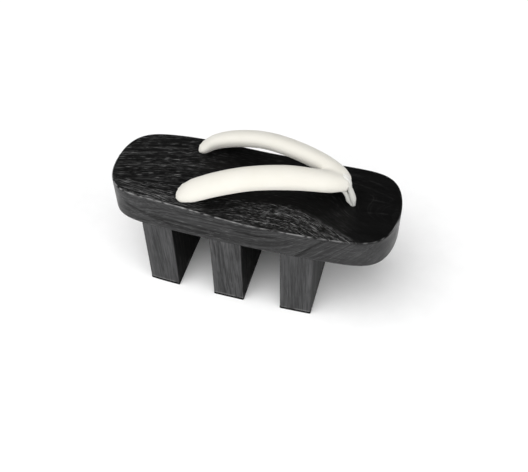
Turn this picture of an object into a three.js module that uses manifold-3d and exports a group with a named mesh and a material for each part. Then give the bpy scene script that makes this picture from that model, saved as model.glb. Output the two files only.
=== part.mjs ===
// A geta: a wooden sandal. A thick board stands on three crosswise teeth, each with a thin
// rubber tread, and a padded cloth strap of two arms is held by a toe cord and two rear holes.
// Millimetres. +X points to the toe, +Y across the foot and +Z up. The origin is on the floor
// under the middle of the board.

import * as THREE from 'three';
import { mergeVertices } from 'three/addons/utils/BufferGeometryUtils.js';
import Module from 'manifold-3d';

const wasm = await Module();
wasm.setup();

// Driving dimensions

const BOARD_LENGTH = 240;
const BOARD_WIDTH = 87;
const BOARD_UNDERSIDE = 71;          // height of the board's flat underside over the floor
const FOREFOOT_THICKNESS = 25.3;     // the thinnest part of the dished board
const HEEL_RISE = 5.8;               // how much thicker the board is under the heel
const TOE_RISE = 1.8;                // how much thicker it is again at the toe
const EDGE_CHAMFER = 0.7;
const TREAD_THICKNESS = 2;
const TOOTH_THICKNESS = 27;          // along the foot
const TOOTH_SPACING = 59.7;          // from one tooth's middle to the next
const MIDDLE_TOOTH_X = -14;
const FRONT_HOLE = { x: 81.2, y: 0, radius: 2.7 };
const REAR_HOLE = { x: -53, y: 29.3, radius: 5 };
const STEM_RADIUS = 4.4;             // the strap's ends inside the rear holes
const KNOT_RADIUS = 5.5;
const KNOT_FLATTENING = 0.8;
const GAP = 0.3;                     // between neighbouring pieces

const HALF_LENGTH = BOARD_LENGTH / 2;
const HALF_WIDTH = BOARD_WIDTH / 2;

// The board's plan is a superellipse whose two ends are set apart: a higher squareness leaves
// a blunter end, and a higher roundness fills its corners.
const TOE_END = { squareness: 12, roundness: 1.9 };
const HEEL_END = { squareness: 11.6, roundness: 2.15 };
const FOREFOOT_SPREAD = 0.045;       // share of the width that the forefoot gains over the heel
const SIDE_BOW = 0.107;              // share of the width that the bowed sides lose at the ends

// Sections of one strap arm, from the rear hole to the front join: place along and across the
// board, rise of the roll's middle over the board's top, and the oval's width, thickness and
// outward lean in degrees.
const ARM_SECTIONS = [
  { x: -55.6, y: 27.6, rise: 1, width: 11.5, thick: 5, lean: 15 },
  { x: -51.9, y: 28.3, rise: 3.1, width: 17.6, thick: 9.4, lean: 18 },
  { x: -43, y: 30, rise: 9.8, width: 19.8, thick: 12.2, lean: 23 },
  { x: -23, y: 28, rise: 21.4, width: 19.6, thick: 13.6, lean: 26 },
  { x: 3, y: 23, rise: 31, width: 19.4, thick: 14, lean: 29 },
  { x: 30, y: 16.4, rise: 32.8, width: 19.2, thick: 14.2, lean: 32 },
  { x: 56, y: 9, rise: 28.8, width: 18.4, thick: 14.4, lean: 33 },
  { x: 67, y: 5.2, rise: 25.5, width: 16.4, thick: 13.4, lean: 33 },
  { x: 72.8, y: 2.8, rise: 22.4, width: 12, thick: 10.6, lean: 33 },
  { x: 75.5, y: 0.8, rise: 20.8, width: 7, thick: 6.5, lean: 33 },
];
const ARM_STEPS = 44;
const ARM_SIDES = 20;

// The toe cord is a flat loop round the join of the arms, leaning back, and a stem of two plies
// that runs from the loop's foot down through the front hole.
const LOOP = { x: 73.2, rise: 21, halfDepth: 3.9, halfHeight: 7.6, lean: 14 };
const LOOP_ROWS = 12;
const LOOP_OVERRUN = 12;             // degrees that each half of the loop runs into the other
const CORD_WIDTH = 6.4;
const CORD_THICKNESS = 3;
const STEM_SECTIONS = [
  { x: 75.6, y: 0, rise: 15, width: 6, thick: 4.5, lean: 0 },
  { x: 77.2, y: 0, rise: 11.5, width: 6.8, thick: 7, lean: 0 },
  { x: 79.4, y: 0, rise: 5, width: 6.8, thick: 7.4, lean: 0 },
  { x: 80.9, y: 0, rise: 0, width: 3.8, thick: 4.2, lean: 0 },
  { x: 81.2, y: 0, rise: -5, width: 4.4, thick: 4.4, lean: 0 },
  { x: 81.2, y: 0, rise: -32, width: 4.4, thick: 4.4, lean: 0 },
];
const CORD_STEPS = 18;
const CORD_SIDES = 12;

// Materials

function material(color, roughness) {
  return new THREE.MeshStandardMaterial({ color, roughness, metalness: 0 });
}

const stainedWood = material(0x1c1b1b, 0.45);
const rubber = material(0x161616, 0.9);
const cloth = material(0xf3f0e6, 0.85);

// Closed bodies from rings

// Joins rings of equal size into a closed body. Each ring runs counterclockwise as seen from
// the last ring's side, and its second half mirrors its first, so both caps are ladders.
function loft(rings) {
  const count = rings[0].length;
  const index = [];
  for (let ring = 0; ring + 1 < rings.length; ring += 1) {
    for (let i = 0; i < count; i += 1) {
      const low = ring * count + i;
      const lowNext = ring * count + (i + 1) % count;
      index.push(low, lowNext, lowNext + count);
      index.push(low, lowNext + count, low + count);
    }
  }
  const last = (rings.length - 1) * count;
  for (let i = 0; i + 1 < count / 2; i += 1) {
    const across = count - 1 - i;
    index.push(last + i, last + i + 1, last + across - 1);
    index.push(last + i, last + across - 1, last + across);
    index.push(i, across - 1, i + 1);
    index.push(i, across, across - 1);
  }
  const geometry = new THREE.BufferGeometry().setFromPoints(rings.flat());
  geometry.setIndex(index);
  return geometry;
}

function toSolid(geometry) {
  const bare = geometry.clone();
  bare.deleteAttribute('normal');
  bare.deleteAttribute('uv');
  const merged = mergeVertices(bare);
  return new wasm.Manifold(new wasm.Mesh({
    numProp: 3,
    vertProperties: merged.attributes.position.array,
    triVerts: new Uint32Array(merged.index.array),
  }));
}

function toGeometry(solid) {
  const mesh = solid.getMesh();
  const geometry = new THREE.BufferGeometry();
  geometry.setAttribute('position', new THREE.BufferAttribute(mesh.vertProperties, 3));
  geometry.setIndex(new THREE.BufferAttribute(mesh.triVerts, 1));
  return geometry;
}

function uprightCylinder(radius, x, y, bottom, top) {
  const geometry = new THREE.CylinderGeometry(radius, radius, top - bottom, 20);
  geometry.rotateX(Math.PI / 2);
  geometry.translate(x, y, (bottom + top) / 2);
  return toSolid(geometry);
}

// The board's plan and profile

function halfWidth(x) {
  const along = x / HALF_LENGTH;
  const end = along > 0 ? TOE_END : HEEL_END;
  const rounding = (1 - Math.abs(along) ** end.squareness) ** (1 / end.roundness);
  return HALF_WIDTH * (1 + FOREFOOT_SPREAD * along - SIDE_BOW * along * along) * rounding;
}

function boardTop(x) {
  const heel = HEEL_RISE * (1 - THREE.MathUtils.smoothstep(x, -75, 17));
  const toe = TOE_RISE * THREE.MathUtils.smoothstep(x, 30, HALF_LENGTH);
  return BOARD_UNDERSIDE + FOREFOOT_THICKNESS + heel + toe;
}

// The far half of a plan, from toe to heel, inset along its own normals and mirrored into a
// full ring at the height that each point's place along the board gives.
function planRing(farHalf, inset, heightAt) {
  const mirrored = (point) => new THREE.Vector2(point.x, -point.y);
  const insetHalf = farHalf.map((point, i) => {
    const before = farHalf[i - 1] ?? mirrored(point);
    const after = farHalf[i + 1] ?? mirrored(point);
    const along = after.clone().sub(before).normalize();
    return new THREE.Vector2(point.x - inset * along.y, point.y + inset * along.x);
  });
  const ring = [...insetHalf, ...insetHalf.map(mirrored).reverse()];
  return ring.map((point) => new THREE.Vector3(point.x, point.y, heightAt(point.x)));
}

// The board's far half, with its points closer together at the rounded ends.
function boardHalf() {
  const stations = 22;
  const crowding = 2.4;
  const half = [];
  for (let i = 1 - stations; i < stations; i += 1) {
    const share = 1 - (1 - Math.abs(i) / stations) ** crowding;
    const x = -Math.sign(i) * share * HALF_LENGTH;
    half.push(new THREE.Vector2(x, halfWidth(x)));
  }
  return half;
}

// A tooth's far half: its side follows the board's, and its corners are eased.
function toothHalf(middle) {
  const front = middle + TOOTH_THICKNESS / 2;
  const rear = middle - TOOTH_THICKNESS / 2;
  const sideSteps = 6;
  const half = [new THREE.Vector2(front, halfWidth(front) - EDGE_CHAMFER)];
  for (let i = 0; i <= sideSteps; i += 1) {
    const x = THREE.MathUtils.lerp(front - EDGE_CHAMFER, rear + EDGE_CHAMFER, i / sideSteps);
    half.push(new THREE.Vector2(x, halfWidth(x)));
  }
  half.push(new THREE.Vector2(rear, halfWidth(rear) - EDGE_CHAMFER));
  return half;
}

function board() {
  const half = boardHalf();
  const blank = toSolid(loft([
    planRing(half, EDGE_CHAMFER, () => BOARD_UNDERSIDE),
    planRing(half, 0, () => BOARD_UNDERSIDE + EDGE_CHAMFER),
    planRing(half, 0, (x) => boardTop(x) - EDGE_CHAMFER),
    planRing(half, EDGE_CHAMFER, boardTop),
  ]));
  const holes = [FRONT_HOLE, REAR_HOLE, { ...REAR_HOLE, y: -REAR_HOLE.y }];
  const drilled = holes.reduce((solid, hole) => solid.subtract(
    uprightCylinder(hole.radius, hole.x, hole.y, BOARD_UNDERSIDE - 1, boardTop(hole.x) + 1),
  ), blank);
  return toGeometry(drilled);
}

function toothBlock(middle, bottom, top) {
  const half = toothHalf(middle);
  return loft([planRing(half, 0, () => bottom), planRing(half, 0, () => top)]);
}

// The strap and the toe cord

// An oval ring round a point of a path. side is square to the path's tangent and points along
// the oval's width.
function ovalRing(centre, tangent, side, width, thick, sides) {
  const up = new THREE.Vector3().crossVectors(tangent, side);
  const ring = [];
  for (let i = 0; i < sides; i += 1) {
    const angle = ((i + 0.5) / sides) * 2 * Math.PI;
    ring.push(centre.clone()
      .addScaledVector(side, (width / 2) * Math.cos(angle))
      .addScaledVector(up, (thick / 2) * Math.sin(angle)));
  }
  return ring;
}

// Rings along a smooth path through rows of place, width, thickness and lean. sideAt gives the
// direction of an oval's width before it leans, and clearance makes every oval larger.
function sweepRings(rows, steps, sides, sideAt, clearance) {
  const path = new THREE.CatmullRomCurve3(rows.map(
    (row) => new THREE.Vector3(row.x, row.y, boardTop(row.x) + row.rise),
  ));
  const shape = new THREE.CatmullRomCurve3(rows.map(
    (row) => new THREE.Vector3(row.width, row.thick, THREE.MathUtils.degToRad(row.lean)),
  ));
  const rings = [];
  for (let step = 0; step <= steps; step += 1) {
    const share = step / steps;
    const tangent = path.getTangent(share);
    const oval = shape.getPoint(share);
    const side = sideAt(tangent).applyAxisAngle(tangent, -oval.z);
    rings.push(ovalRing(
      path.getPoint(share), tangent, side, oval.x + 2 * clearance, oval.y + 2 * clearance, sides,
    ));
  }
  return rings;
}

// A direction level with the floor and square to the path, on the path's left.
function levelSide(tangent) {
  return new THREE.Vector3(0, 0, 1).cross(tangent).normalize();
}

function acrossBoard() {
  return new THREE.Vector3(0, 1, 0);
}

function mirrorRings(rings) {
  return rings.map((ring) => ring.map(
    (point) => new THREE.Vector3(point.x, -point.y, point.z),
  ).reverse());
}

// A knot pulled up against the board's underside, a flattened ball.
function knot(x, y) {
  const geometry = new THREE.SphereGeometry(KNOT_RADIUS, 16, 10);
  geometry.rotateX(Math.PI / 2);
  geometry.scale(1, 1, KNOT_FLATTENING);
  geometry.translate(x, y, BOARD_UNDERSIDE - GAP - KNOT_RADIUS * KNOT_FLATTENING);
  return toSolid(geometry);
}

// One half of the toe cord's loop, the front strand for +1 and the rear strand for -1.
function loopHalf(direction, clearance) {
  const lean = THREE.MathUtils.degToRad(LOOP.lean);
  const rows = [];
  for (let i = 0; i <= LOOP_ROWS; i += 1) {
    const reach = 90 + LOOP_OVERRUN;
    const turn = THREE.MathUtils.degToRad(THREE.MathUtils.lerp(-reach, reach, i / LOOP_ROWS));
    const out = direction * LOOP.halfDepth * Math.cos(turn);
    const up = LOOP.halfHeight * Math.sin(turn);
    const x = LOOP.x + out * Math.cos(lean) - up * Math.sin(lean);
    const height = boardTop(LOOP.x) + LOOP.rise + out * Math.sin(lean) + up * Math.cos(lean);
    const rise = height - boardTop(x);
    rows.push({ x, y: 0, rise, width: CORD_WIDTH, thick: CORD_THICKNESS, lean: 0 });
  }
  return toSolid(loft(sweepRings(rows, CORD_STEPS, CORD_SIDES, acrossBoard, clearance)));
}

// The toe cord without its knot, made larger all round by a clearance.
function toeCord(clearance) {
  const stem = loft(sweepRings(
    STEM_SECTIONS, CORD_STEPS, CORD_SIDES, acrossBoard, clearance,
  ));
  return loopHalf(1, clearance).add(loopHalf(-1, clearance)).add(toSolid(stem));
}

// Both arms joined at the front, cut level with the board's top and round the toe cord, with a
// stem through each rear hole and a knot under it.
function strap() {
  const farArm = sweepRings(ARM_SECTIONS, ARM_STEPS, ARM_SIDES, levelSide, 0);
  const nearArm = mirrorRings(farArm);
  const half = boardHalf();
  const boardAndGap = toSolid(loft([
    planRing(half, 0, () => BOARD_UNDERSIDE),
    planRing(half, 0, (x) => boardTop(x) + GAP),
  ]));
  const arms = toSolid(loft(farArm)).add(toSolid(loft(nearArm))).subtract(boardAndGap);
  const stems = [REAR_HOLE.y, -REAR_HOLE.y].map((y) => uprightCylinder(
    STEM_RADIUS, REAR_HOLE.x, y, BOARD_UNDERSIDE - KNOT_RADIUS, boardTop(REAR_HOLE.x) + 3.5,
  ).add(knot(REAR_HOLE.x, y)));
  return toGeometry(arms.add(stems[0]).add(stems[1]).subtract(toeCord(GAP)));
}

// The assembly

const sandal = new THREE.Group();

function addPiece(name, geometry, pieceMaterial) {
  geometry.computeVertexNormals();
  const mesh = new THREE.Mesh(geometry, pieceMaterial);
  mesh.name = name;
  sandal.add(mesh);
}

addPiece('board', board(), stainedWood);
for (const [index, place] of ['rear', 'middle', 'front'].entries()) {
  const middle = MIDDLE_TOOTH_X + (index - 1) * TOOTH_SPACING;
  const toothBottom = TREAD_THICKNESS + GAP;
  addPiece(`tooth_${place}`, toothBlock(middle, toothBottom, BOARD_UNDERSIDE - GAP), stainedWood);
  addPiece(`tread_${place}`, toothBlock(middle, 0, TREAD_THICKNESS), rubber);
}
addPiece('hanao', strap(), cloth);
addPiece('maetsubo', toGeometry(toeCord(0).add(knot(FRONT_HOLE.x, FRONT_HOLE.y))), cloth);

export default sandal;
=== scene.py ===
"""The looks of a geta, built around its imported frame: a wooden sandal on three teeth.

Lengths in this script are millimetres in the frame's own axes (+X to the toe, +Y across, +Z up,
origin on the floor), and add_mesh turns them into Blender's metres. Shader nodes, WAVE_PERIOD and
the camera's lens keep Blender's own units. Angles in the constants and for lights are degrees.
"""

import math

import bpy
import numpy as np
from mathutils import Matrix, Vector


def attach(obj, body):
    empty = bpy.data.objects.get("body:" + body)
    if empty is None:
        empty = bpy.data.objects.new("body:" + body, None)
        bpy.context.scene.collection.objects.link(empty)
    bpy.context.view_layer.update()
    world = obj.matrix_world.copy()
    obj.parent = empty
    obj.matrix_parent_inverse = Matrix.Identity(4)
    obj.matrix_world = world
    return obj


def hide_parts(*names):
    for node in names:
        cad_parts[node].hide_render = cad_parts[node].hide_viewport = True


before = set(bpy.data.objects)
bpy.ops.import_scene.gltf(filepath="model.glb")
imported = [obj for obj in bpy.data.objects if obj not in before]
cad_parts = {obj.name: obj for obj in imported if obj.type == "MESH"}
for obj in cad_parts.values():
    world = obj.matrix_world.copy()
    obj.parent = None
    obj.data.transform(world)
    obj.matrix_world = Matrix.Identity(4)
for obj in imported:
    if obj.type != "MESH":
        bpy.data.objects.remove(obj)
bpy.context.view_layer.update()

MM = 0.001

# The camera looks down on the near side from the toe's side, with a slight roll.
CAMERA = {"azimuth": 16.20, "elevation": 47.67, "roll": -1.18, "lens": 53.41}
CAMERA_PLACE = (134.9, -441.0, 542.9)

# The board, the teeth and the treads
HALF_LENGTH = 120
HALF_WIDTH = 43.5
BOARD_UNDERSIDE = 71
FOREFOOT_THICKNESS = 25.3
HEEL_RISE = 5.8
TOE_RISE = 1.8
TOE_END = {"squareness": 12, "roundness": 1.9}
HEEL_END = {"squareness": 11.6, "roundness": 2.15}
FOREFOOT_SPREAD = 0.045
SIDE_BOW = 0.107
BOARD_EDGE = 0.8                # radius of the board's eased edges
BOARD_ROWS = 260
BOARD_COLUMNS = 200
WALL_ROWS = 30
UNDERSIDE_COLUMNS = 12
FRONT_HOLE = {"x": 81.2, "y": 0, "radius": 2.7}
REAR_HOLE = {"x": -53, "y": 29.3, "radius": 5}
TREAD_THICKNESS = 2
TOOTH_THICKNESS = 27
TOOTH_SPACING = 59.7
MIDDLE_TOOTH_X = -14
TOOTH_CORNER = 0.9
PAINTED_LIGHT_FACE_X = 55                # painted light on the teeth ahead of this, on the open front face of the first
ROUND_STEPS = 5                 # points round each quarter of an eased edge or corner

# Marks of the grain: pale streaks on the toe's far side and a pale line along the heel's near
# edge as (x, y), and dark growth rings on the near side as (x, z), the slanted one as (z, x).
TOE_STREAKS = (((80, 24), (98, 18), (114, 12)), ((88, 9), (99, 8), (111, 7)),
               ((84, 31), (98, 27), (108, 22)), ((90, -8), (101, -6), (113, -5)))
HEEL_LINE = ((-113, -26), (-95, -29.5), (-70, -32.5), (-30, -36))
SIDE_RINGS = (((-104, 90), (-96, 88), (-78, 83), (-52, 82.6), (-10, 81.4)),
              ((-88, 86), (-82, 84), (-61, 78.4), (-35, 77.2), (-22, 77)),
              ((-8, 88), (14, 86.5), (34, 89)))
SLANTED_RING = ((64, 39), (69, 43), (84.7, 56.5), (97, 69), (102, 74))

# Sections of the far strap arm from the rear hole to the front join: the roll's middle, its
# rise over the board's top, and the oval's width, thickness and outward lean.
ARM_SECTIONS = (
    # x, y, rise, width, thick, lean
    (-55.6, 27.6, 1, 11.5, 5, 15),
    (-51.9, 28.3, 3.1, 17.6, 9.4, 18),
    (-43, 30, 9.8, 19.8, 12.2, 23),
    (-23, 28, 21.4, 19.6, 13.6, 26),
    (3, 23, 31, 19.4, 14, 29),
    (30, 16.4, 32.8, 19.2, 14.2, 32),
    (56, 9, 28.8, 18.4, 14.4, 33),
    (67, 5.2, 25.5, 16.4, 13.4, 33),
    (72.8, 2.8, 22.4, 12, 10.6, 33),
    (75.5, 0.8, 20.8, 7, 6.5, 33),
)
ARM_STEPS = 260
ARM_SIDES = 72
STEM_RADIUS = 4.2
STEM_TUCK = 2.5                 # how far a stem rises over the board's top, inside its arm
SKIN_SIZE = 0.65                # how fine the joined arms' skin is
GROOVE_STEPS = 170              # rounds of smoothing in the groove between the arms

# The toe cord: a loop round the join of the arms, leaning back, over a stem of two plies.
LOOP = {"x": 73.2, "rise": 21, "half_depth": 3.9, "half_height": 7.6, "lean": 14}
LOOP_ROWS = 11
CORD_WIDTH = 6.4
CORD_THICKNESS = 3.0
CORD_STEM_RADIUS = 2.2
CORD_STEPS = 300
CORD_SIDES = 48
# Rows of one ply under the loop: the stem's middle, the ply's distance from it, the ply's
# width across the foot and its thickness.
PLY_SECTIONS = (
    # x, rise, off, width, thick
    (81.2, -28, 1.0, 4.2, 2.3),
    (81.2, -5, 1.0, 4.2, 2.3),
    (80.9, 0, 1.0, 3.8, 2.3),
    (79.4, 5, 1.8, 6.4, 3.7),
    (77.2, 11.5, 1.9, 6.6, 3.6),
)
KNOT_RADIUS = 5.2
KNOT_CORD = 1.9

WAVE_PERIOD = 0.314             # metres from band to band of a wave texture at a scale of 1


# Numbers and curves

def smoothstep(value, low, high):
    share = np.clip((value - low) / (high - low), 0, 1)
    return share * share * (3 - 2 * share)


def value_noise(u, v, seed):
    """Smooth random values from 0 to 1 over a lattice of unit cells."""
    size = 256
    table = np.random.default_rng(seed).random((size, size))
    column, row = np.floor(u).astype(int), np.floor(v).astype(int)
    across, up = smoothstep(u - column, 0, 1), smoothstep(v - row, 0, 1)
    near = table[column % size, row % size] * (1 - across)
    near = near + table[(column + 1) % size, row % size] * across
    far = table[column % size, (row + 1) % size] * (1 - across)
    far = far + table[(column + 1) % size, (row + 1) % size] * across
    return near * (1 - up) + far * up


def catmull_rom(rows, shares):
    """Points on a centripetal Catmull-Rom curve through the rows, at shares from 0 to 1."""
    rows = np.asarray(rows, float)
    points = np.vstack((2 * rows[0] - rows[1], rows, 2 * rows[-1] - rows[-2]))
    place = np.clip(np.asarray(shares, float), 0, 1) * (len(rows) - 1)
    first = np.minimum(place.astype(int), len(rows) - 2)
    along = (place - first)[:, None]
    before, start, end, after = (points[first + step] for step in range(4))
    gaps = [np.sqrt(np.linalg.norm(b - a, axis=1))[:, None]
            for a, b in ((before, start), (start, end), (end, after))]
    enter = (start - before) / gaps[0] - (end - before) / (gaps[0] + gaps[1])
    enter = (enter + (end - start) / gaps[1]) * gaps[1]
    leave = (end - start) / gaps[1] - (after - start) / (gaps[1] + gaps[2])
    leave = (leave + (after - end) / gaps[2]) * gaps[1]
    square, cube = along ** 2, along ** 3
    return ((2 * cube - 3 * square + 1) * start + (cube - 2 * square + along) * enter
            + (3 * square - 2 * cube) * end + (cube - square) * leave)


def unit(vectors):
    return vectors / np.linalg.norm(vectors, axis=1)[:, None]


def half_width(x):
    along = x / HALF_LENGTH
    squareness = np.where(along > 0, TOE_END["squareness"], HEEL_END["squareness"])
    roundness = np.where(along > 0, TOE_END["roundness"], HEEL_END["roundness"])
    rounding = (1 - np.abs(along) ** squareness) ** (1 / roundness)
    return HALF_WIDTH * (1 + FOREFOOT_SPREAD * along - SIDE_BOW * along ** 2) * rounding


def board_top(x):
    heel = HEEL_RISE * (1 - smoothstep(x, -75, 17))
    toe = TOE_RISE * smoothstep(x, 30, HALF_LENGTH)
    return BOARD_UNDERSIDE + FOREFOOT_THICKNESS + heel + toe


# Meshes

def add_mesh(name, points, faces, attributes=None):
    """A smooth-shaded object from points in millimetres. attributes holds named lists of one
    number per point."""
    mesh = bpy.data.meshes.new(name)
    mesh.from_pydata((np.asarray(points) * MM).tolist(), [], faces)
    mesh.validate()
    mesh.polygons.foreach_set("use_smooth", [True] * len(mesh.polygons))
    for key, values in (attributes or {}).items():
        mesh.attributes.new(key, "FLOAT", "POINT").data.foreach_set("value", values)
    piece = bpy.data.objects.new(name, mesh)
    bpy.context.collection.objects.link(piece)
    return piece


def quads_between(low, high):
    """Quads between two closed rings of point numbers."""
    return [(low[i - 1], low[i], high[i], high[i - 1]) for i in range(len(low))]


def wall_faces(rings, count):
    """Quads of a wall whose rings of count points follow each other in the list of points."""
    faces = []
    for start in range(0, (rings - 1) * count, count):
        low = list(range(start, start + count))
        faces += quads_between(low, [i + count for i in low])
    return faces


def tube_faces(rings, sides, closed=False):
    """Quads and end caps of a tube whose rings follow each other in the list of points."""
    numbers = np.arange(rings * sides).reshape(rings, sides).tolist()
    faces = []
    for low, high in zip(numbers, numbers[1:] + numbers[:1] if closed else numbers[1:]):
        faces += quads_between(low, high)
    if not closed:
        faces += [tuple(reversed(numbers[0])), tuple(numbers[-1])]
    return faces


def modified(piece, kind, **settings):
    """Changes a piece's mesh with one modifier."""
    modifier = piece.modifiers.new("change", kind)
    for key, value in settings.items():
        setattr(modifier, key, value)
    graph = bpy.context.evaluated_depsgraph_get()
    mesh = bpy.data.meshes.new_from_object(piece.evaluated_get(graph))
    piece.modifiers.clear()
    piece.data = mesh


def boolean(piece, other, operation):
    """Joins or cuts a piece with another object, which is then removed."""
    modified(piece, "BOOLEAN", object=other, operation=operation, solver="EXACT")
    bpy.data.objects.remove(other)


def fill_groove(piece):
    """Turns the two joined arms into one skin and fills the groove where they meet."""
    modified(piece, "REMESH", mode="VOXEL", voxel_size=SKIN_SIZE * MM)
    group = piece.vertex_groups.new(name="groove")
    for vertex in piece.data.vertices:
        x, y = vertex.co.x / MM, vertex.co.y / MM
        near_join = smoothstep(x, 30, 48) * (1 - smoothstep(x, 68, 73))
        weight = float(near_join * math.exp(-(y / 8) ** 2))
        if weight > 0.01:
            group.add([vertex.index], weight, "REPLACE")
    modified(piece, "SMOOTH", factor=0.5, iterations=GROOVE_STEPS, vertex_group="groove")
    piece.vertex_groups.clear()
    piece.data.polygons.foreach_set("use_smooth", [True] * len(piece.data.polygons))


def bore_cutter(hole, radius):
    """A lathe cutter with a slightly flared mouth, for a bore through the board."""
    top = float(board_top(hole["x"]))
    profile = ((radius, BOARD_UNDERSIDE - 2), (radius, top - 0.3), (radius + 0.6, top + 0.4))
    sides = 48
    turn = np.arange(sides) / sides * 2 * np.pi
    rings = [np.column_stack((hole["x"] + size * np.cos(turn), hole["y"] + size * np.sin(turn),
                              np.full(sides, height))) for size, height in profile]
    return add_mesh("cutter", np.vstack(rings), tube_faces(len(profile), sides))


# Wood

def lines(along, across, length, width, low, high, seed):
    """Broken streaks of a given length and width, from 0 to 1."""
    return smoothstep(value_noise(along / length, across / width, seed), low, high)


def drawn(along, across, path, width):
    """A soft line of a given width through (along, across) points, fading at both ends."""
    places, levels = np.array(path, float).T
    ends = smoothstep(along, places[0], places[0] + 6)
    ends = ends * (1 - smoothstep(along, places[-1] - 6, places[-1]))
    return ends * np.exp(-((across - np.interp(along, places, levels)) / width) ** 2)


def board_grain(x, y, z, side):
    """Light flecks, dark growth rings, the cover of fine flecks and the distance across the grain
    in millimetres, at arrays of points. The first three start at 0, and flecks over 1 mark the near
    top edge, which is partly wear and partly a painted highlight.

    On top the lines run lengthwise and sweep to the near edge in the forefoot, where they
    leave a speckled tongue. On the sides they run lengthwise and rise steeply at the forefoot.
    """
    near = 1 - 0.7 * smoothstep(y, -12, 18)
    turn_off = near * 0.62 * np.logaddexp(0, (x - 42) / 7) * 7
    arch = 0.0009 * np.minimum(0, x - 35) ** 2
    near_heel = (1 - smoothstep(y, -36, -14)) * smoothstep(-x, 10, 55)
    bend = arch + near_heel * (0.11 * x + 19 - arch)
    across = y + bend + turn_off + 1.6 * value_noise(x / 55, y / 30, 1)
    dashes = lines(x, across, 3.6, 1.1, 0.28, 0.72, 2)
    fine = lines(x, across, 42, 0.9, 0.60, 0.82, 3) * dashes
    short = lines(x, across, 5, 0.7, 0.66, 0.9, 13) * lines(x, across, 1.6, 0.9, 0.2, 0.7, 14)
    heel = smoothstep(-x, 20, 75)
    toe = smoothstep(x, 72, 90)
    cover = 0.13 + 0.40 * heel - 0.09 * toe + 0.5 * near_heel
    patches = 0.35 + 1.0 * value_noise(x / 28, across / 9, 4)
    fleck = (0.5 + 0.6 * near_heel) * cover * patches * np.maximum(fine, 0.8 * short)
    tongue_edge = -13 - 0.034 * np.maximum(0, 35 - x) ** 1.25 - 0.50 * np.maximum(0, x - 38)
    tongue = smoothstep(tongue_edge - y, -2, 5) * smoothstep(x, -38, 15)
    speckle = lines(x, across, 1.6, 0.8, 0.56, 0.84, 5)
    outline = np.exp(-((tongue_edge - y - 1) / 1.1) ** 2) * smoothstep(x, 5, 40)
    fleck = np.maximum(fleck, tongue * speckle * (0.3 + 0.4 * value_noise(x / 14, y / 6, 6)))
    fleck = np.maximum(fleck, 0.5 * outline * lines(x, across, 2.5, 1.4, 0.4, 0.8, 7))
    fine_cover = np.clip(cover * patches, 0, 1) * (1 - tongue) + tongue
    for shift in (-3.6, -1.8, 0, 2.2):
        line = [(place, level + shift) for place, level in HEEL_LINE]
        fleck = np.maximum(fleck, 0.75 * drawn(x, y, line, 0.42) * (0.25 + 0.75 * dashes))
    for streak in TOE_STREAKS:
        fleck = np.maximum(fleck, 0.15 * drawn(x, y, streak, 0.5) * (0.3 + 0.7 * dashes))
    inside = np.clip(x, 0.2 - HALF_LENGTH, HALF_LENGTH - 0.2)
    slope = (half_width(inside + 0.1) - half_width(inside - 0.1)) / 0.2
    edge = (half_width(inside) + y) / np.sqrt(1 + slope ** 2)
    # Pale broken line along the near top edge: partly wear, partly a painted highlight where the
    # eased edge catches the light.
    edge_wear_and_highlight = np.exp(-((edge - 0.45) / 0.38) ** 2) * lines(x, y, 2.4, 30, 0.2, 0.7, 8)
    edge_wear_and_highlight = edge_wear_and_highlight * (0.6 + 0.6 * lines(x, y, 25, 30, 0.3, 0.6, 15))

    climb = 1.05 * np.logaddexp(0, (x - 38) / 9) * 9
    height = z - 0.02 * x + 7 * smoothstep(-x, 58, 100) - climb
    height = height + 2.5 * value_noise(x / 45, z / 18, 9)
    calm = 1 - 0.5 * smoothstep(x, 30, 60) - 0.3 * smoothstep(x, 70, 100)
    ring = 0.6 * calm * lines(x, height, 80, 1.5, 0.56, 0.76, 10)
    ring = np.maximum(ring, 0.5 * calm * lines(x, height, 26, 0.9, 0.58, 0.88, 11))
    for path in SIDE_RINGS:
        ring = np.maximum(ring, (y < 0) * drawn(x, z, path, 1.9))
    ring = np.maximum(ring, (y < 0) * (x > 30) * drawn(z, x, SLANTED_RING, 1.9))
    grey = lines(x, height, 13, 0.8, 0.62, 0.9, 12)
    fleck = (1 - side) * np.maximum(np.minimum(fleck, 1), 2 * edge_wear_and_highlight) + side * 0.2 * grey
    return (fleck, side * ring, (1 - side) * fine_cover + 0.25 * side,
            (1 - side) * across + side * height)


def tooth_grain(x, y, z, strength, seed):
    """What board_grain gives, for a tooth, whose grain runs up and down and leans a little."""
    across = x + y + 0.06 * z + 1.5 * value_noise(z / 22, (x + y) / 9, seed)
    ring = lines(z, across, 30, 1.2, 0.54, 0.84, seed + 1)
    ring = np.maximum(ring, 0.8 * lines(z, across, 14, 0.7, 0.60, 0.9, seed + 2))
    fleck = 0.2 * strength * lines(z, across, 12, 0.7, 0.64, 0.9, seed + 3)
    foot = np.exp(-((z - TREAD_THICKNESS - 0.9) / 0.7) ** 2)
    fleck = np.maximum(fleck, 1.3 * foot * lines(across, z, 6, 30, 0.1, 0.6, seed + 4))
    return fleck, strength * 0.5 * ring, 0.08 * strength + 0 * x, across


def plain_grain(x, y, z):
    """What board_grain gives, for a piece without grain."""
    return 0 * x, 0 * x, 0 * x, 0 * x


def inset_half(half, inset):
    """The far half of a plan, moved inwards along its own normals."""
    mirrored = half * (1, -1)
    around = np.vstack((mirrored[0], half, mirrored[-1]))
    along = unit(around[2:] - around[:-2])
    return half + inset * np.column_stack((-along[:, 1], along[:, 0]))


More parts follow.
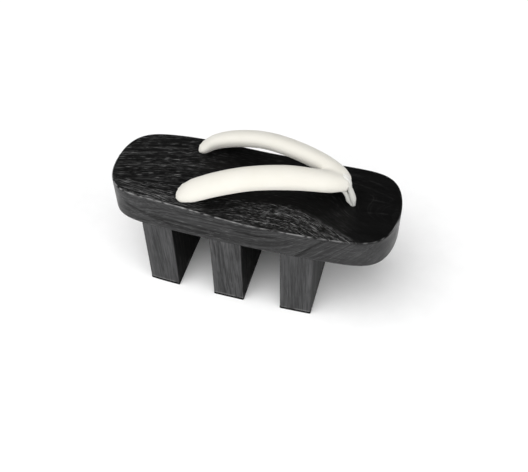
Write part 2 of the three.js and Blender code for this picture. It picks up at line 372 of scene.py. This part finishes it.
def edge_profile(radius, rows):
    """Insets and height shares of a wall with rounded edges, from its foot to its top edge.

    The heights are measured up from the bottom edge or down from the top edge, so that the
    top edge can follow a curved top: each row is (inset, share of the way up, offset).
    """
    turns = np.radians(np.linspace(0, 90, ROUND_STEPS))
    foot = [(radius * (1 - math.sin(t)), 0, radius * (1 - math.cos(t))) for t in turns]
    wall = [(0, share, radius * (1 - 2 * share)) for share in np.linspace(0, 1, rows)[1:-1]]
    head = [(radius * (1 - math.sin(t)), 1, -radius * (1 - math.cos(t))) for t in turns[::-1]]
    return foot + wall + head


def board_plan():
    """The board's far half from toe to heel, with its points closer together at the ends."""
    places = np.linspace(-1, 1, BOARD_ROWS + 1)
    ends = np.sign(places) * (1 - (1 - np.abs(places)) ** 2.2)
    x = -HALF_LENGTH * 0.9994 * (0.45 * ends + 0.55 * places)
    return np.column_stack((x, half_width(x)))


def build_board():
    """The board: a fine grid on top, a rounded wall and a plain underside, with three bores."""
    half = board_plan()
    share = np.linspace(1, -1, BOARD_COLUMNS + 1)

    def ring(inset, height_at):
        rim = inset_half(half, inset)
        toe = np.column_stack((np.full(BOARD_COLUMNS - 1, rim[0, 0]), rim[0, 1] * share[1:-1]))
        heel = np.column_stack((np.full(BOARD_COLUMNS - 1, rim[-1, 0]), rim[-1, 1] * share[1:-1]))
        plan = np.vstack((rim, heel, (rim * (1, -1))[::-1], toe[::-1]))
        return np.column_stack((plan, height_at(plan[:, 0])))

    rings = []
    for inset, up, offset in edge_profile(BOARD_EDGE, WALL_ROWS):
        rings.append(ring(inset, lambda x, up=up, offset=offset: (
            BOARD_UNDERSIDE + up * (board_top(x) - BOARD_UNDERSIDE) + offset)))
    count = len(rings[0])
    points = list(np.vstack(rings))
    faces = wall_faces(len(rings), count)

    last = (len(rings) - 1) * count
    rim = inset_half(half, BOARD_EDGE)
    rows = len(rim)
    grid = np.zeros((rows, BOARD_COLUMNS + 1), int)
    heel_start = last + rows
    near_start = heel_start + BOARD_COLUMNS - 1
    toe_start = near_start + rows
    for row in range(rows):
        grid[row, 0] = last + row
        grid[row, -1] = near_start + rows - 1 - row
    grid[-1, 1:-1] = np.arange(heel_start, near_start)
    grid[0, 1:-1] = np.arange(toe_start, toe_start + BOARD_COLUMNS - 1)[::-1]
    for row in range(1, rows - 1):
        x, y = rim[row]
        grid[row, 1:-1] = np.arange(len(points), len(points) + BOARD_COLUMNS - 1)
        points += [(x, y * s, board_top(x)) for s in share[1:-1]]
    for row in range(rows - 1):
        here, after = grid[row].tolist(), grid[row + 1].tolist()
        faces += [(here[c], here[c + 1], after[c + 1], after[c]) for c in range(BOARD_COLUMNS)]

    under = np.zeros((rows, UNDERSIDE_COLUMNS + 1), int)
    spread = np.linspace(1, -1, UNDERSIDE_COLUMNS + 1)
    for row in range(rows):
        x, y = rim[row]
        under[row, 0] = row
        under[row, -1] = rows + BOARD_COLUMNS - 1 + rows - 1 - row
        under[row, 1:-1] = np.arange(len(points), len(points) + UNDERSIDE_COLUMNS - 1)
        points += [(x, y * s, BOARD_UNDERSIDE) for s in spread[1:-1]]
    for row in range(rows - 1):
        here, after = under[row].tolist(), under[row + 1].tolist()
        faces += [(after[c], after[c + 1], here[c + 1], here[c])
                  for c in range(UNDERSIDE_COLUMNS)]
    heel_rim = list(range(rows, rows + BOARD_COLUMNS - 1))
    toe_rim = list(range(2 * rows + BOARD_COLUMNS - 1, count))
    faces.append(tuple(under[-1].tolist() + heel_rim[::-1]))
    faces.append(tuple(under[0].tolist()[::-1] + toe_rim[::-1]))

    points = np.array(points, float)
    x, y, z = points.T
    depth = board_top(x) - z
    # side marks the walls, which take the lighter side tone: partly a paler finish, partly painted
    # light.
    side = smoothstep(depth, 0.5, 1.2)
    fleck, dark, cover, across = board_grain(x, y, z, side)
    upper = 1 - smoothstep(depth, 0.1, 0.6)
    points[:, 2] += upper * (0.16 * np.minimum(fleck, 1) - 0.05)
    wall = side * smoothstep(z, BOARD_UNDERSIDE, BOARD_UNDERSIDE + 2)
    outward = np.zeros((len(points), 2))
    outward[:len(rings) * count] = np.tile(ring_normals(rings[ROUND_STEPS][:, :2]), (len(rings), 1))
    points[:, :2] += outward * (wall * (0.08 * fleck - 0.10 * dark))[:, None]
    board = add_mesh("board_wood", points, faces, {
        "fleck": fleck, "ring": dark, "side": side, "cover": cover, "across": across})
    for hole in (FRONT_HOLE, REAR_HOLE, {**REAR_HOLE, "y": -REAR_HOLE["y"]}):
        boolean(board, bore_cutter(hole, hole["radius"]), "DIFFERENCE")
    return board


def ring_normals(plan):
    """Outward normals of a closed plan whose points run counterclockwise."""
    along = unit(np.roll(plan, -1, axis=0) - np.roll(plan, 1, axis=0))
    return np.column_stack((along[:, 1], -along[:, 0]))


def build_block(name, middle, bottom, top, edge, grow, rows, grain):
    """A crosswise block under the board: a tooth or its tread.

    Its sides follow the board's plan, grow moves its upright faces outwards, and grain gives
    what board_grain gives at arrays of points.
    """
    front, rear = (middle + TOOTH_THICKNESS / 2 + grow, middle - TOOTH_THICKNESS / 2 - grow)
    corner = np.radians(np.linspace(0, 90, ROUND_STEPS))
    front_x = front - TOOTH_CORNER * (1 - np.cos(corner))
    front_y = half_width(front) + grow - TOOTH_CORNER * (1 - np.sin(corner))
    side_x = np.linspace(front - TOOTH_CORNER, rear + TOOTH_CORNER, 40)[1:-1]
    rear_x = rear + TOOTH_CORNER * (1 - np.sin(corner))
    rear_y = half_width(rear) + grow - TOOTH_CORNER * (1 - np.cos(corner))
    across = np.linspace(0.02, 1, 60)[:-1]
    face = across * (half_width(front) + grow - TOOTH_CORNER)
    back = across[::-1] * (half_width(rear) + grow - TOOTH_CORNER)
    half = np.vstack((
        np.column_stack((np.full(len(face), front), face)),
        np.column_stack((front_x, front_y)),
        np.column_stack((side_x, half_width(side_x) + grow)),
        np.column_stack((rear_x, rear_y)),
        np.column_stack((np.full(len(back), rear), back)),
    ))
    rings = []
    for inset, up, offset in edge_profile(edge, rows):
        rim = inset_half(half, inset)
        plan = np.vstack((rim, (rim * (1, -1))[::-1]))
        rings.append(np.column_stack((plan, np.full(len(plan), bottom + up * (top - bottom)
                                                    + offset))))
    count = len(rings[0])
    points = np.vstack(rings)
    faces = wall_faces(len(rings), count)
    last = (len(rings) - 1) * count
    for i in range(count // 2 - 1):
        opposite = count - 1 - i
        faces.append((last + i, last + i + 1, last + opposite - 1, last + opposite))
        faces.append((i, opposite, opposite - 1, i + 1))
    x, y, z = points.T
    fleck, dark, cover, across_grain = grain(x, y, z)
    outward = np.tile(ring_normals(rings[ROUND_STEPS][:, :2]), (len(rings), 1))
    points[:, :2] += outward * (0.10 * np.minimum(fleck, 1) - 0.12 * dark)[:, None]
    # Painted light and shade: faces across the foot and the first tooth's open front face take the
    # light side tone, and the faces along the foot, most of them between the teeth, take the dark
    # tone.
    outer = np.abs(outward[:, 1])
    painted_light_face = (x > PAINTED_LIGHT_FACE_X) * 0.8
    return add_mesh(name, points, faces, {
        "fleck": fleck, "ring": dark, "side": np.maximum(outer, painted_light_face), "cover": cover,
        "across": across_grain})


# The strap and the toe cord

def sweep(path, sides_at, width, thick, shape):
    """Rings round a path. sides_at points along each oval's width, and shape moves the surface
    outwards by millimetres for arrays of share along and angle round."""
    tangent = unit(np.gradient(path, axis=0))
    side = unit(sides_at - (sides_at * tangent).sum(1)[:, None] * tangent)
    up = np.cross(tangent, side)
    count = shape["sides"]
    angle = (np.arange(count) + 0.5) / count * 2 * np.pi
    share = np.linspace(0, 1, len(path))[:, None]
    cos, sin = np.cos(angle)[None, :], np.sin(angle)[None, :]
    swell = shape["swell"](share, angle[None, :])
    out_side = (width[:, None] / 2) * cos + swell * cos
    out_up = (thick[:, None] / 2) * sin + swell * sin
    points = (path[:, None, :] + out_side[..., None] * side[:, None, :]
              + out_up[..., None] * up[:, None, :])
    return points.reshape(-1, 3)


def arm_swell(share, angle, seed):
    """Soft lumps, gathers at both ends and a sewn seam underneath, in millimetres."""
    rear = 1 - smoothstep(share, 0.02, 0.17)
    front = smoothstep(share, 0.86, 0.985)
    around = angle / (2 * np.pi)
    lumps = 0.5 * (value_noise(share * 11, around * 3 + 0 * share, seed) - 0.5)
    turn = 1.4 * share
    gathers = np.cos(13 * angle + 9 * turn) + 0.7 * np.cos(21 * angle - 4 * turn + seed)
    gathers = gathers * (0.4 + value_noise(share * 40, around * 9, seed + 1))
    seam_angle = np.angle(np.exp(1j * (angle - 1.5 * np.pi)))
    seam = -0.7 * np.exp(-(seam_angle / 0.09) ** 2)
    puckers = 0.12 * np.cos(share * 330) * np.exp(-(seam_angle / 0.35) ** 2)
    return lumps + (0.42 * rear + 0.38 * front) * gathers + seam + puckers


def strap_arm(mirror, seed):
    """One padded arm as points and faces. mirror is 1 for the far arm and -1 for the near."""
    rows = np.array(ARM_SECTIONS, float)
    shares = np.linspace(0, 1, ARM_STEPS + 1)
    centres = np.column_stack((rows[:, 0], rows[:, 1], board_top(rows[:, 0]) + rows[:, 2]))
    path = catmull_rom(centres, shares)
    oval = catmull_rom(np.column_stack((rows[:, 3:5], np.radians(rows[:, 5]))), shares)
    tangent = unit(np.gradient(path, axis=0))
    level = unit(np.cross((0, 0, 1), tangent))
    up = np.cross(tangent, level)
    lean = oval[:, 2][:, None]
    side = np.cos(lean) * level - np.sin(lean) * up
    shape = {"sides": ARM_SIDES, "swell": lambda share, angle: arm_swell(share, angle, seed)}
    points = sweep(path, side, oval[:, 0], oval[:, 1], shape)
    rest = board_top(points[:, 0]) + 0.15
    softness = 0.35
    lifted = rest + softness * np.logaddexp(0, (points[:, 2] - rest) / softness)
    points[:, 2] = np.maximum(points[:, 2], lifted)
    points[:, 1] *= mirror
    faces = tube_faces(ARM_STEPS + 1, ARM_SIDES)
    if mirror < 0:
        faces = [tuple(reversed(face)) for face in faces]
    return points, faces


def joined(parts):
    """One list of points and one of faces from several."""
    points, faces, start = [], [], 0
    for part_points, part_faces in parts:
        points.append(part_points)
        faces += [tuple(i + start for i in face) for face in part_faces]
        start += len(part_points)
    return np.vstack(points), faces


def stem_and_knot(x, y, radius, top):
    """A strap end that runs down a bore, with an overhand knot under the board."""
    steps, sides = 40, 24
    heights = np.linspace(top, BOARD_UNDERSIDE - 3, steps)
    path = np.column_stack((np.full(steps, x), np.full(steps, y), heights))
    creases = {"sides": sides, "swell": lambda share, angle: 0.25 * np.cos(5 * angle + 3 * share)}
    across = np.tile((0.0, 1.0, 0.0), (steps, 1))
    width = np.full(steps, 2 * radius)
    stem = sweep(path, across, width, width, creases), tube_faces(steps, sides)
    turns = 150
    turn = np.linspace(0, 2 * np.pi, turns, endpoint=False)
    size = (KNOT_RADIUS - KNOT_CORD) / 3
    middle = BOARD_UNDERSIDE - 0.4 - KNOT_CORD - 1.7
    path = np.column_stack((
        x + size * (np.sin(turn) + 2 * np.sin(2 * turn)),
        y + size * (np.cos(turn) - 2 * np.cos(2 * turn)),
        middle - 1.6 * np.sin(3 * turn),
    ))
    return [stem, closed_tube(path, KNOT_CORD, sides)]


def closed_tube(path, radius, sides):
    """A round tube along a closed path."""
    tangent = unit(np.roll(path, -1, axis=0) - np.roll(path, 1, axis=0))
    side = unit(np.cross(tangent, (0, 0, 1)))
    up = np.cross(side, tangent)
    angle = np.arange(sides) / sides * 2 * np.pi
    swell = radius * (1 + 0.05 * np.cos(4 * angle))
    points = (path[:, None, :] + (swell * np.cos(angle))[None, :, None] * side[:, None, :]
              + (swell * np.sin(angle))[None, :, None] * up[:, None, :])
    faces = tube_faces(len(path), sides, closed=True)
    return points.reshape(-1, 3), faces


def build_strap():
    """The strap: both arms joined at the front, their ends knotted under the board."""
    far_arm = add_mesh("hanao_cloth", *strap_arm(1, 31))
    near_arm = add_mesh("near_arm", *strap_arm(-1, 41))
    boolean(far_arm, near_arm, "UNION")
    fill_groove(far_arm)
    top = float(board_top(REAR_HOLE["x"])) + STEM_TUCK
    ends = []
    for y in (REAR_HOLE["y"], -REAR_HOLE["y"]):
        ends += stem_and_knot(REAR_HOLE["x"], y, STEM_RADIUS, top)
    join(far_arm, add_mesh("strap_ends", *joined(ends)))
    return far_arm


def join(piece, other):
    """Puts another object's mesh into the piece's mesh."""
    with bpy.context.temp_override(active_object=piece, object=piece,
                                   selected_editable_objects=[piece, other]):
        bpy.ops.object.join()


def ply_rows(direction):
    """Rows (x, z, width, thick) of one ply from the board's underside to the loop's foot."""
    rows = np.array(PLY_SECTIONS, float)
    x, z = rows[:, 0], board_top(rows[:, 0]) + rows[:, 1]
    along = unit(np.column_stack((np.gradient(x), np.gradient(z))))
    x = x + direction * rows[:, 2] * along[:, 1]
    z = z - direction * rows[:, 2] * along[:, 0]
    return np.column_stack((x, z, rows[:, 3], rows[:, 4]))


def loop_rows():
    """Rows (x, z, width, thick) of the loop from its front foot over its top to the rear."""
    lean = math.radians(LOOP["lean"])
    turn = np.radians(np.linspace(-35, 215, LOOP_ROWS))
    out = LOOP["half_depth"] * np.cos(turn)
    up = LOOP["half_height"] * np.sin(turn)
    x = LOOP["x"] + out * math.cos(lean) - up * math.sin(lean)
    z = board_top(LOOP["x"]) + LOOP["rise"] + out * math.sin(lean) + up * math.cos(lean)
    width, thick = np.full(LOOP_ROWS, CORD_WIDTH), np.full(LOOP_ROWS, CORD_THICKNESS)
    return np.column_stack((x, z, width, thick))


def build_toe_cord():
    """The toe cord: one folded strip of cloth up, over the join and down, with its knot."""
    rows = np.vstack((ply_rows(1), loop_rows(), ply_rows(-1)[::-1]))
    curve = catmull_rom(rows, np.linspace(0, 1, CORD_STEPS))
    path = np.column_stack((curve[:, 0], np.zeros(CORD_STEPS), curve[:, 1]))
    across = np.tile((0.0, 1.0, 0.0), (CORD_STEPS, 1))

    def creases(share, angle):
        folds = np.cos(7 * angle + 5 * share) + 0.8 * np.cos(11 * angle - 9 * share + 1)
        uneven = 0.5 + value_noise(share * 22, angle / (2 * np.pi) * 8, 52)
        return 0.13 * folds * uneven

    shape = {"sides": CORD_SIDES, "swell": creases}
    strip = sweep(path, across, curve[:, 2], curve[:, 3], shape)
    parts = [(strip, tube_faces(CORD_STEPS, CORD_SIDES))]
    parts += stem_and_knot(FRONT_HOLE["x"], 0, CORD_STEM_RADIUS, BOARD_UNDERSIDE + 2)
    return add_mesh("maetsubo_cloth", *joined(parts))


# Materials

def node(tree, kind, inputs=None, **settings):
    """A node with its settings, and its inputs set to values or linked to sockets."""
    made = tree.nodes.new(kind)
    for key, value in settings.items():
        setattr(made, key, value)
    for key, value in (inputs or {}).items():
        if isinstance(value, bpy.types.NodeSocket):
            tree.links.new(value, made.inputs[key])
        else:
            made.inputs[key].default_value = value
    return made


def grey(value, tint=(1, 1, 1)):
    return (value * tint[0], value * tint[1], value * tint[2], 1)


def new_material(name):
    """A material with an empty node tree, its tree and its shader."""
    material = bpy.data.materials.new(name)
    material.use_nodes = True
    tree = material.node_tree
    return material, tree, tree.nodes["Principled BSDF"]


def mixed(tree, factor, first, second, blend="MIX"):
    """A colour socket that goes from the first colour to the second."""
    mix = node(tree, "ShaderNodeMix", data_type="RGBA", blend_type=blend)
    for number, value in ((0, factor), (6, first), (7, second)):
        if isinstance(value, bpy.types.NodeSocket):
            tree.links.new(value, mix.inputs[number])
        else:
            mix.inputs[number].default_value = value
    return mix.outputs[2]


def remap(tree, value, low, high, to_low, to_high, clamp=True):
    mapping = node(tree, "ShaderNodeMapRange", {
        "Value": value, "From Min": low, "From Max": high, "To Min": to_low, "To Max": to_high},
        clamp=clamp)
    return mapping.outputs["Result"]


def stretched_noise(tree, scale, detail=4, roughness=0.6):
    """Noise in object space, with a scale per metre on each axis."""
    place = node(tree, "ShaderNodeTexCoord").outputs["Object"]
    mapping = node(tree, "ShaderNodeMapping", {"Vector": place, "Scale": scale})
    noise = node(tree, "ShaderNodeTexNoise", {
        "Vector": mapping.outputs["Vector"], "Scale": 1.0, "Detail": detail,
        "Roughness": roughness})
    return noise.outputs["Fac"]


def attribute(tree, name):
    return node(tree, "ShaderNodeAttribute", attribute_name=name).outputs["Fac"]


def fine_dashes(tree, grain_axis, length, width, low, high):
    """Thin broken lines along the grain, from 0 to 1. The mesh says how far each point lies
    across the grain, in millimetres."""
    place = node(tree, "ShaderNodeTexCoord").outputs["Object"]
    along = node(tree, "ShaderNodeSeparateXYZ", {"Vector": place}).outputs[grain_axis]
    u = remap(tree, along, 0, length * MM, 0, 1, clamp=False)
    v = remap(tree, attribute(tree, "across"), 0, width, 0, 1, clamp=False)
    spot = node(tree, "ShaderNodeCombineXYZ", {"X": u, "Y": v}).outputs["Vector"]
    noise = node(tree, "ShaderNodeTexNoise", {"Vector": spot, "Scale": 1.0, "Detail": 2.0})
    return remap(tree, noise.outputs["Fac"], low, high, 0, 1)


def wood_material(name, grain_axis, top_tone, side_finish_and_light_tone, roughness, specular):
    """Black-stained wood with a satin finish. grain_axis is the axis that the grain follows."""
    material, tree, shader = new_material(name)
    along, across = 35, 900
    scale = tuple(along if axis == grain_axis else across for axis in range(3))
    fibres = stretched_noise(tree, scale)
    broad = stretched_noise(tree, tuple(value / 8 for value in scale), detail=3)
    # The side attribute picks the lighter side tone: partly a paler finish and partly painted light
    # on the board's walls, and painted light against painted shade on the teeth.
    base = mixed(tree, attribute(tree, "side"), grey(top_tone), grey(side_finish_and_light_tone, (1, 1, 1.02)))
    base = mixed(tree, remap(tree, broad, 0.3, 0.7, 0, 0.45), base, grey(0.004))
    base = mixed(tree, remap(tree, attribute(tree, "ring"), 0, 1, 0, 0.95), base, grey(0.002))
    # Flecks lighten the wood; fleck values over 1 are the near top edge's wear and painted
    # highlight.
    base = mixed(tree, remap(tree, attribute(tree, "fleck"), 0, 2, 0, 0.9), base, grey(0.2))
    dashes = fine_dashes(tree, grain_axis, 7.5, 0.40, 0.55, 0.66)
    rows = fine_dashes(tree, grain_axis, 60, 1.1, 0.44, 0.60)
    in_rows = node(tree, "ShaderNodeMath", {0: dashes, 1: rows}, operation="MULTIPLY")
    covered = node(tree, "ShaderNodeMath", {
        0: in_rows.outputs[0], 1: attribute(tree, "cover")}, operation="MULTIPLY").outputs[0]
    base = mixed(tree, remap(tree, covered, 0, 1, 0, 1), base, grey(0.33))
    fibre_shade = remap(tree, fibres, 0.3, 0.75, 0.65, 1.35)
    shade = node(tree, "ShaderNodeCombineColor", {
        "Red": fibre_shade, "Green": fibre_shade, "Blue": fibre_shade})
    colour = mixed(tree, 1.0, base, shade.outputs["Color"], "MULTIPLY")
    tree.links.new(colour, shader.inputs["Base Color"])
    uneven = remap(tree, broad, 0.3, 0.7, roughness, roughness + 0.16)
    tree.links.new(uneven, shader.inputs["Roughness"])
    shader.inputs["Specular IOR Level"].default_value = specular
    bump = node(tree, "ShaderNodeBump", {"Height": fibres, "Strength": 0.22,
                                         "Distance": 0.0001})
    tree.links.new(bump.outputs["Normal"], shader.inputs["Normal"])
    return material


def cloth_material(name, tone, thread):
    """Plain woven cotton. thread is the distance between threads in millimetres."""
    material, tree, shader = new_material(name)
    place = node(tree, "ShaderNodeTexCoord").outputs["Object"]
    waves = []
    for turn in (34, 124):
        turned = node(tree, "ShaderNodeMapping", {
            "Vector": place, "Rotation": (math.radians(25), 0, math.radians(turn))})
        wave = node(tree, "ShaderNodeTexWave", {
            "Vector": turned.outputs["Vector"], "Scale": WAVE_PERIOD / (thread * MM),
            "Distortion": 0.6, "Detail": 1.0, "Detail Scale": 2.0})
        waves.append(wave.outputs["Fac"])
    weave = node(tree, "ShaderNodeMath", {0: waves[0], 1: waves[1]}, operation="ADD")
    soil = stretched_noise(tree, (38, 38, 38), detail=5)
    fuzz = stretched_noise(tree, (1400, 1400, 1400), detail=2)
    base = mixed(tree, remap(tree, soil, 0.35, 0.7, 0, 0.5), tone,
                 (tone[0] * 0.93, tone[1] * 0.92, tone[2] * 0.88, 1))
    base = mixed(tree, remap(tree, weave.outputs[0], 0.2, 1.6, 0.16, 0), base,
                 (tone[0] * 0.7, tone[1] * 0.68, tone[2] * 0.62, 1))
    tree.links.new(base, shader.inputs["Base Color"])
    shader.inputs["Roughness"].default_value = 0.9
    shader.inputs["Sheen Weight"].default_value = 0.25
    shader.inputs["Sheen Roughness"].default_value = 0.5
    shader.inputs["Specular IOR Level"].default_value = 0.25
    height = node(tree, "ShaderNodeMath", {0: weave.outputs[0], 1: fuzz}, operation="ADD")
    bump = node(tree, "ShaderNodeBump", {"Height": height.outputs[0], "Strength": 0.35,
                                         "Distance": 0.00012})
    tree.links.new(bump.outputs["Normal"], shader.inputs["Normal"])
    return material


def rubber_material():
    """Matt black rubber with fine pitting."""
    material, tree, shader = new_material("tread_rubber")
    pits = stretched_noise(tree, (1800, 1800, 1800), detail=2)
    dust = stretched_noise(tree, (90, 90, 90), detail=4)
    base = mixed(tree, remap(tree, dust, 0.4, 0.75, 0, 0.6), grey(0.003), grey(0.010))
    tree.links.new(base, shader.inputs["Base Color"])
    tree.links.new(remap(tree, dust, 0.3, 0.7, 0.75, 0.95), shader.inputs["Roughness"])
    shader.inputs["Specular IOR Level"].default_value = 0.08
    bump = node(tree, "ShaderNodeBump", {"Height": pits, "Strength": 0.3, "Distance": 0.0002})
    tree.links.new(bump.outputs["Normal"], shader.inputs["Normal"])
    return material


# The studio

def add_camera():
    azimuth, elevation, roll = (math.radians(CAMERA[key])
                                for key in ("azimuth", "elevation", "roll"))
    back = Vector((math.sin(azimuth) * math.cos(elevation),
                   -math.cos(azimuth) * math.cos(elevation), math.sin(elevation)))
    level = Vector((math.cos(azimuth), math.sin(azimuth), 0))
    upright = back.cross(level)
    right = level * math.cos(roll) + upright * math.sin(roll)
    up = upright * math.cos(roll) - level * math.sin(roll)
    data = bpy.data.cameras.new("camera")
    data.lens = CAMERA["lens"]
    data.sensor_width = 36
    data.clip_start = 0.01
    camera = bpy.data.objects.new("camera", data)
    turn = Matrix((right, up, back)).transposed().to_4x4()
    camera.matrix_world = Matrix.Translation(Vector(CAMERA_PLACE) * MM) @ turn
    bpy.context.collection.objects.link(camera)
    bpy.context.scene.camera = camera


def add_light(name, source, spread, strength):
    """A soft light that reaches everything from one side. spread is how wide it looks."""
    data = bpy.data.lights.new(name, "SUN")
    data.angle = math.radians(spread)
    data.energy = strength
    light = bpy.data.objects.new(name, data)
    light.rotation_euler = Vector(source).to_track_quat("Z", "Y").to_euler()
    bpy.context.collection.objects.link(light)


def add_floor():
    """A wide pale floor."""
    reach = 6000
    corners = [(-reach, -reach, 0), (reach, -reach, 0), (reach, reach, 0), (-reach, reach, 0)]
    floor = add_mesh("floor", corners, [(0, 1, 2, 3)])
    material, tree, shader = new_material("pale_floor")
    paper = stretched_noise(tree, (60, 60, 60), detail=2)
    base = mixed(tree, remap(tree, paper, 0.3, 0.7, 0, 1), grey(0.90), grey(0.92))
    tree.links.new(base, shader.inputs["Base Color"])
    shader.inputs["Roughness"].default_value = 0.9
    shader.inputs["Specular IOR Level"].default_value = 0.1
    floor.data.materials.append(material)


def add_world():
    """A broad pale glow on the near side and a pale band along the horizon. The rest is dim,
    so that the satin top stays black."""
    world = bpy.data.worlds.new("studio")
    world.use_nodes = True
    bpy.context.scene.world = world
    tree = world.node_tree
    direction = node(tree, "ShaderNodeTexCoord").outputs["Generated"]
    facing = node(tree, "ShaderNodeVectorMath", {0: direction, 1: (-0.25, -0.85, 0.45)},
                  operation="DOT_PRODUCT").outputs["Value"]
    glow = remap(tree, facing, 0.05, 0.85, 0.03, 1.2)
    height = node(tree, "ShaderNodeSeparateXYZ", {"Vector": direction}).outputs["Z"]
    horizon = remap(tree, height, 0.04, 0.16, 0.75, 0)
    strength = node(tree, "ShaderNodeMath", {0: glow, 1: horizon}, operation="ADD").outputs[0]
    shader = tree.nodes["Background"]
    shader.inputs["Color"].default_value = (1, 1, 1, 1)
    tree.links.new(strength, shader.inputs["Strength"])


def add_studio():
    add_floor()
    add_world()
    add_light("key", (-0.14, -0.36, 1.0), spread=60, strength=1.86)
    add_light("fill", (1.0, -0.25, 0.35), spread=50, strength=0.9)
    add_light("rim", (-0.9, 0.4, 0.25), spread=60, strength=0.25)
    bpy.context.scene.view_settings.view_transform = "Standard"


# The assembly

def place_piece(piece, material, slot, *nodes):
    piece.data.materials.clear()
    piece.data.materials.append(material)
    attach(piece, "root")
    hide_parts(*nodes)


def build_sandal():
    board_wood = wood_material("board_wood", grain_axis=0, top_tone=0.0035, side_finish_and_light_tone=0.041,
                               roughness=0.28, specular=0.11)
    # On the teeth the dark top tone is painted shade on the faces along the foot, most of them
    # between the teeth, and the side tone is painted light on their faces across the foot and the
    # first tooth's front.
    tooth_wood = wood_material("tooth_wood", grain_axis=2, top_tone=0.002, side_finish_and_light_tone=0.073,
                               roughness=0.6, specular=0.05)
    rubber = rubber_material()
    strap_cloth = cloth_material("strap_cloth", (0.68, 0.663, 0.61, 1), thread=0.45)
    cord_cloth = cloth_material("cord_cloth", (0.66, 0.66, 0.63, 1), thread=0.4)

    place_piece(build_board(), board_wood, "stained_wood", "board")
    teeth = (("rear", 0.7, 61), ("middle", 1.0, 71), ("front", 0.5, 81))
    for index, (name, strength, seed) in enumerate(teeth):
        middle = MIDDLE_TOOTH_X + (index - 1) * TOOTH_SPACING
        tooth = build_block(
            f"tooth_{name}_wood", middle, TREAD_THICKNESS, BOARD_UNDERSIDE + 0.05, 0.35, 0, 70,
            lambda x, y, z, strength=strength, seed=seed: tooth_grain(x, y, z, strength, seed))
        place_piece(tooth, tooth_wood, "stained_wood", f"tooth_{name}")
        tread = build_block(
            f"tread_{name}_rubber", middle, 0, TREAD_THICKNESS, 0.3, 0.15, 4, plain_grain)
        place_piece(tread, rubber, "tread_rubber", f"tread_{name}")

    strap = build_strap()
    place_piece(strap, strap_cloth, "strap_cloth", "hanao")
    place_piece(build_toe_cord(), cord_cloth, "cord_cloth", "maetsubo")


add_camera()
add_studio()
build_sandal()
